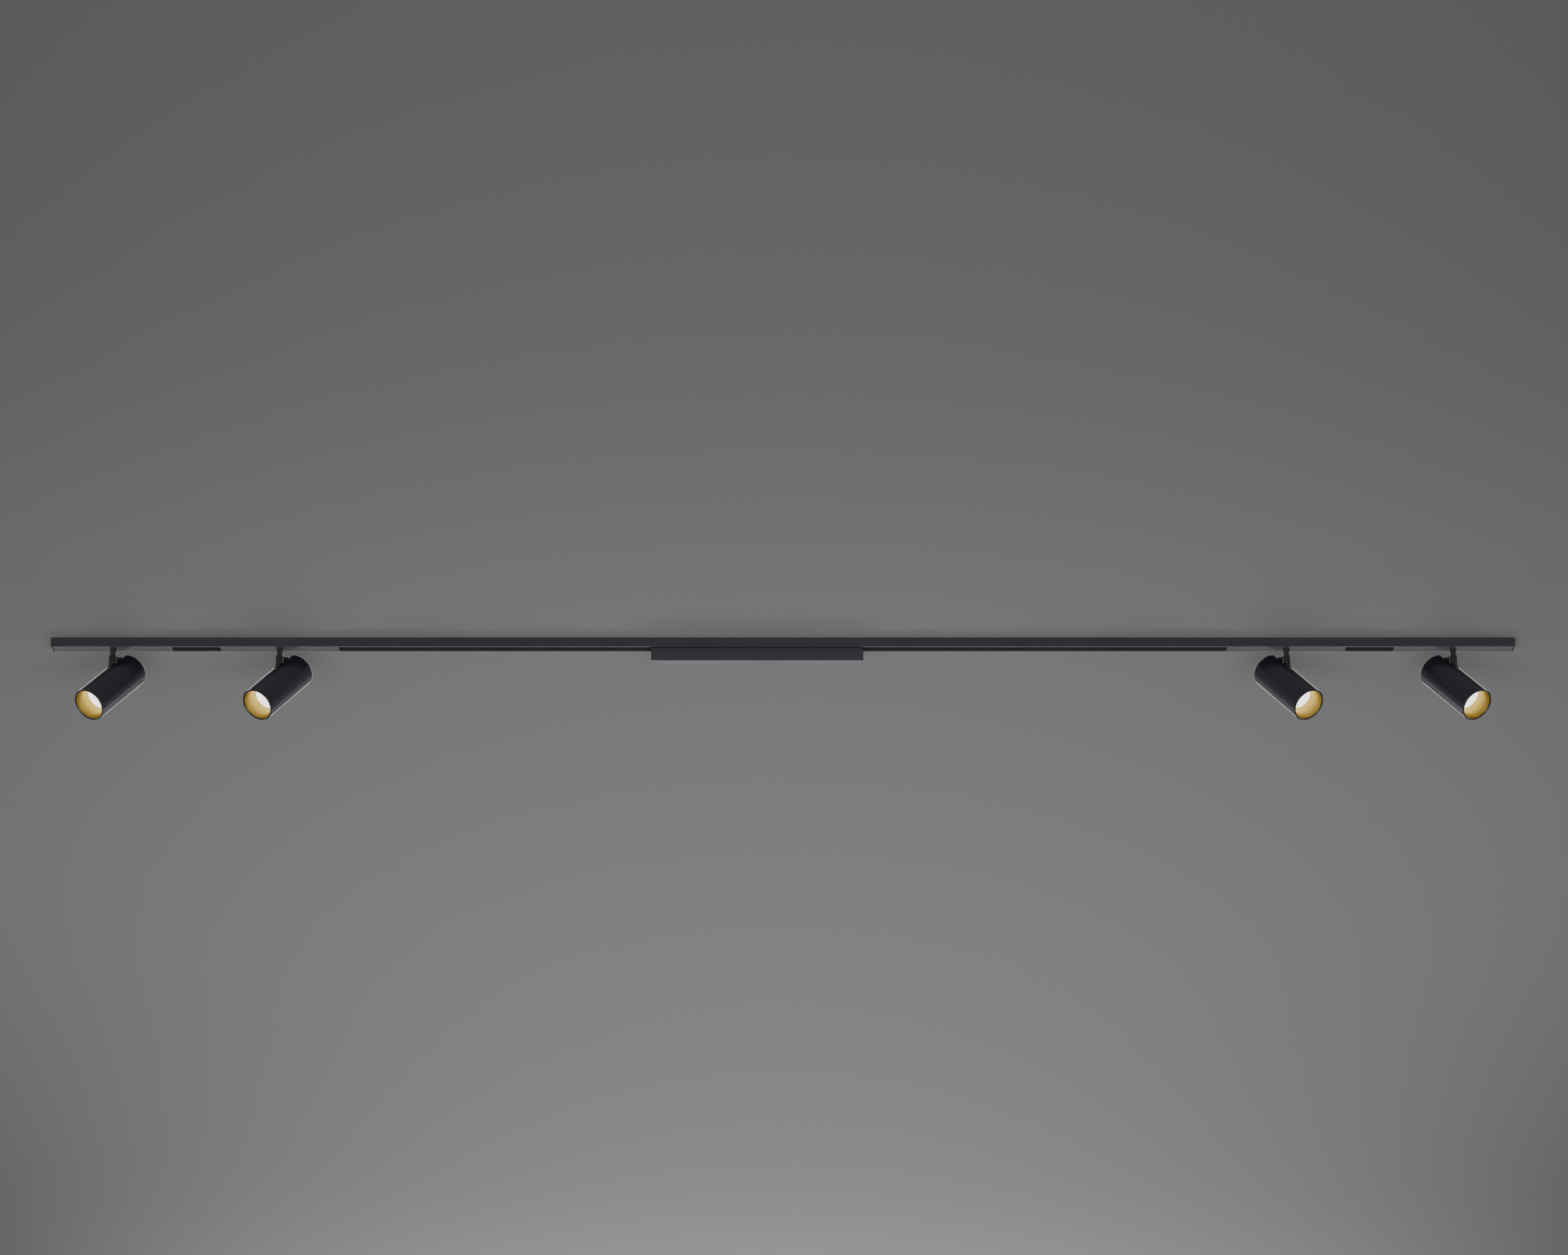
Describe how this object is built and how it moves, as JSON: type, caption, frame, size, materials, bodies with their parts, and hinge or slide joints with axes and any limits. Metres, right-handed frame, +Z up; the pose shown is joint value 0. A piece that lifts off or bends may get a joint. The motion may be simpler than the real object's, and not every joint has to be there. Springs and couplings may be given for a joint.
{
  "type": "track lighting fixture",
  "caption": "Slim surface-mounted low-voltage track light: black rail with aimable cylinder spots, gold reflectors and a driver in the slot.",
  "frame": {"origin": "middle of the rail's top face, which lies against the ceiling", "axes": "+X along the rail, +Y towards the side that the spots point away from at rest, +Z up into the ceiling"},
  "size_m": [2, 0.0928, 0.12],
  "materials": {
    "black_paint": "matt black powder coat",
    "head_paint": "satin black paint",
    "black_plastic": "matt moulded",
    "cover_plastic": "matt moulded",
    "liner_plastic": "extruded",
    "copper": "bare copper",
    "steel": "plated",
    "circuit_board": "solder mask",
    "winding": "taped winding",
    "can_sleeve": "shrink sleeve",
    "terminal_plastic": "moulded",
    "rubber": "matt",
    "nickel": "nickel plate",
    "aluminium": "bare",
    "led_white": "white solder mask",
    "gold": "gold-anodised, satin",
    "opal": "opal diffuser"
  },
  "bodies": {
    "track": {"rail": "black_paint", "end_cap_left": "black_plastic", "end_cap_right": "black_plastic", "insulator_front": "liner_plastic", "insulator_rear": "liner_plastic", "conductors": "copper", "steel_strips": "steel", "driver_housing": "black_paint", "driver_end_plates": "black_paint", "driver_lid": "black_plastic", "driver_board": "circuit_board", "transformer": "winding", "capacitors": "can_sleeve", "terminal_block": "terminal_plastic", "driver_contacts": "copper", "cable_grommet": "rubber"},
    "outer_left_adapter": {"outer_left_adapter_housing": "black_plastic", "outer_left_adapter_cover": "cover_plastic", "outer_left_adapter_board": "circuit_board", "outer_left_adapter_magnets": "nickel"},
    "outer_left_arm": {"outer_left_stem": "black_paint"},
    "outer_left_head": {"outer_left_pivot_pin": "steel", "outer_left_head_shell": "head_paint", "outer_left_heat_sink": "aluminium", "outer_left_led_board": "led_white", "outer_left_reflector": "gold", "outer_left_lens": "opal"},
    "inner_left_adapter": {"inner_left_adapter_housing": "black_plastic", "inner_left_adapter_cover": "cover_plastic", "inner_left_adapter_board": "circuit_board", "inner_left_adapter_magnets": "nickel"},
    "inner_left_arm": {"inner_left_stem": "black_paint"},
    "inner_left_head": {"inner_left_pivot_pin": "steel", "inner_left_head_shell": "head_paint", "inner_left_heat_sink": "aluminium", "inner_left_led_board": "led_white", "inner_left_reflector": "gold", "inner_left_lens": "opal"},
    "inner_right_adapter": {"inner_right_adapter_housing": "black_plastic", "inner_right_adapter_cover": "cover_plastic", "inner_right_adapter_board": "circuit_board", "inner_right_adapter_magnets": "nickel"},
    "inner_right_arm": {"inner_right_stem": "black_paint"},
    "inner_right_head": {"inner_right_pivot_pin": "steel", "inner_right_head_shell": "head_paint", "inner_right_heat_sink": "aluminium", "inner_right_led_board": "led_white", "inner_right_reflector": "gold", "inner_right_lens": "opal"},
    "outer_right_adapter": {"outer_right_adapter_housing": "black_plastic", "outer_right_adapter_cover": "cover_plastic", "outer_right_adapter_board": "circuit_board", "outer_right_adapter_magnets": "nickel"},
    "outer_right_arm": {"outer_right_stem": "black_paint"},
    "outer_right_head": {"outer_right_pivot_pin": "steel", "outer_right_head_shell": "head_paint", "outer_right_heat_sink": "aluminium", "outer_right_led_board": "led_white", "outer_right_reflector": "gold", "outer_right_lens": "opal"}
  },
  "joints": [
    {"name": "outer_left_slide", "type": "slide", "parent": "track", "child": "outer_left_adapter", "axis": [1, 0, 0], "range_m": [0, 0.03]},
    {"name": "outer_left_pan", "type": "hinge", "parent": "outer_left_adapter", "child": "outer_left_arm", "pos_m": [-0.916, 0, -0.013], "axis": [0, 0, 1], "range_deg": [-175, 175]},
    {"name": "outer_left_tilt", "type": "hinge", "parent": "outer_left_arm", "child": "outer_left_head", "pos_m": [-0.916, 0, -0.0675], "axis": [0.749, -0.6626, 0], "range_deg": [-1, 46]},
    {"name": "inner_left_slide", "type": "slide", "parent": "track", "child": "inner_left_adapter", "axis": [1, 0, 0], "range_m": [-0.03, 0.42]},
    {"name": "inner_left_pan", "type": "hinge", "parent": "inner_left_adapter", "child": "inner_left_arm", "pos_m": [-0.688, 0, -0.013], "axis": [0, 0, 1], "range_deg": [-175, 175]},
    {"name": "inner_left_tilt", "type": "hinge", "parent": "inner_left_arm", "child": "inner_left_head", "pos_m": [-0.688, 0, -0.0675], "axis": [0.749, -0.6626, 0], "range_deg": [-1, 46]},
    {"name": "inner_right_slide", "type": "slide", "parent": "track", "child": "inner_right_adapter", "axis": [1, 0, 0], "range_m": [-0.49, 0.03]},
    {"name": "inner_right_pan", "type": "hinge", "parent": "inner_right_adapter", "child": "inner_right_arm", "pos_m": [0.688, 0, -0.013], "axis": [0, 0, 1], "range_deg": [-175, 175]},
    {"name": "inner_right_tilt", "type": "hinge", "parent": "inner_right_arm", "child": "inner_right_head", "pos_m": [0.688, 0, -0.0675], "axis": [0.749, 0.6626, 0], "range_deg": [-1, 46]},
    {"name": "outer_right_slide", "type": "slide", "parent": "track", "child": "outer_right_adapter", "axis": [1, 0, 0], "range_m": [-0.03, 0]},
    {"name": "outer_right_pan", "type": "hinge", "parent": "outer_right_adapter", "child": "outer_right_arm", "pos_m": [0.916, 0, -0.013], "axis": [0, 0, 1], "range_deg": [-175, 175]},
    {"name": "outer_right_tilt", "type": "hinge", "parent": "outer_right_arm", "child": "outer_right_head", "pos_m": [0.916, 0, -0.0675], "axis": [0.749, 0.6626, 0], "range_deg": [-1, 46]}
  ]
}
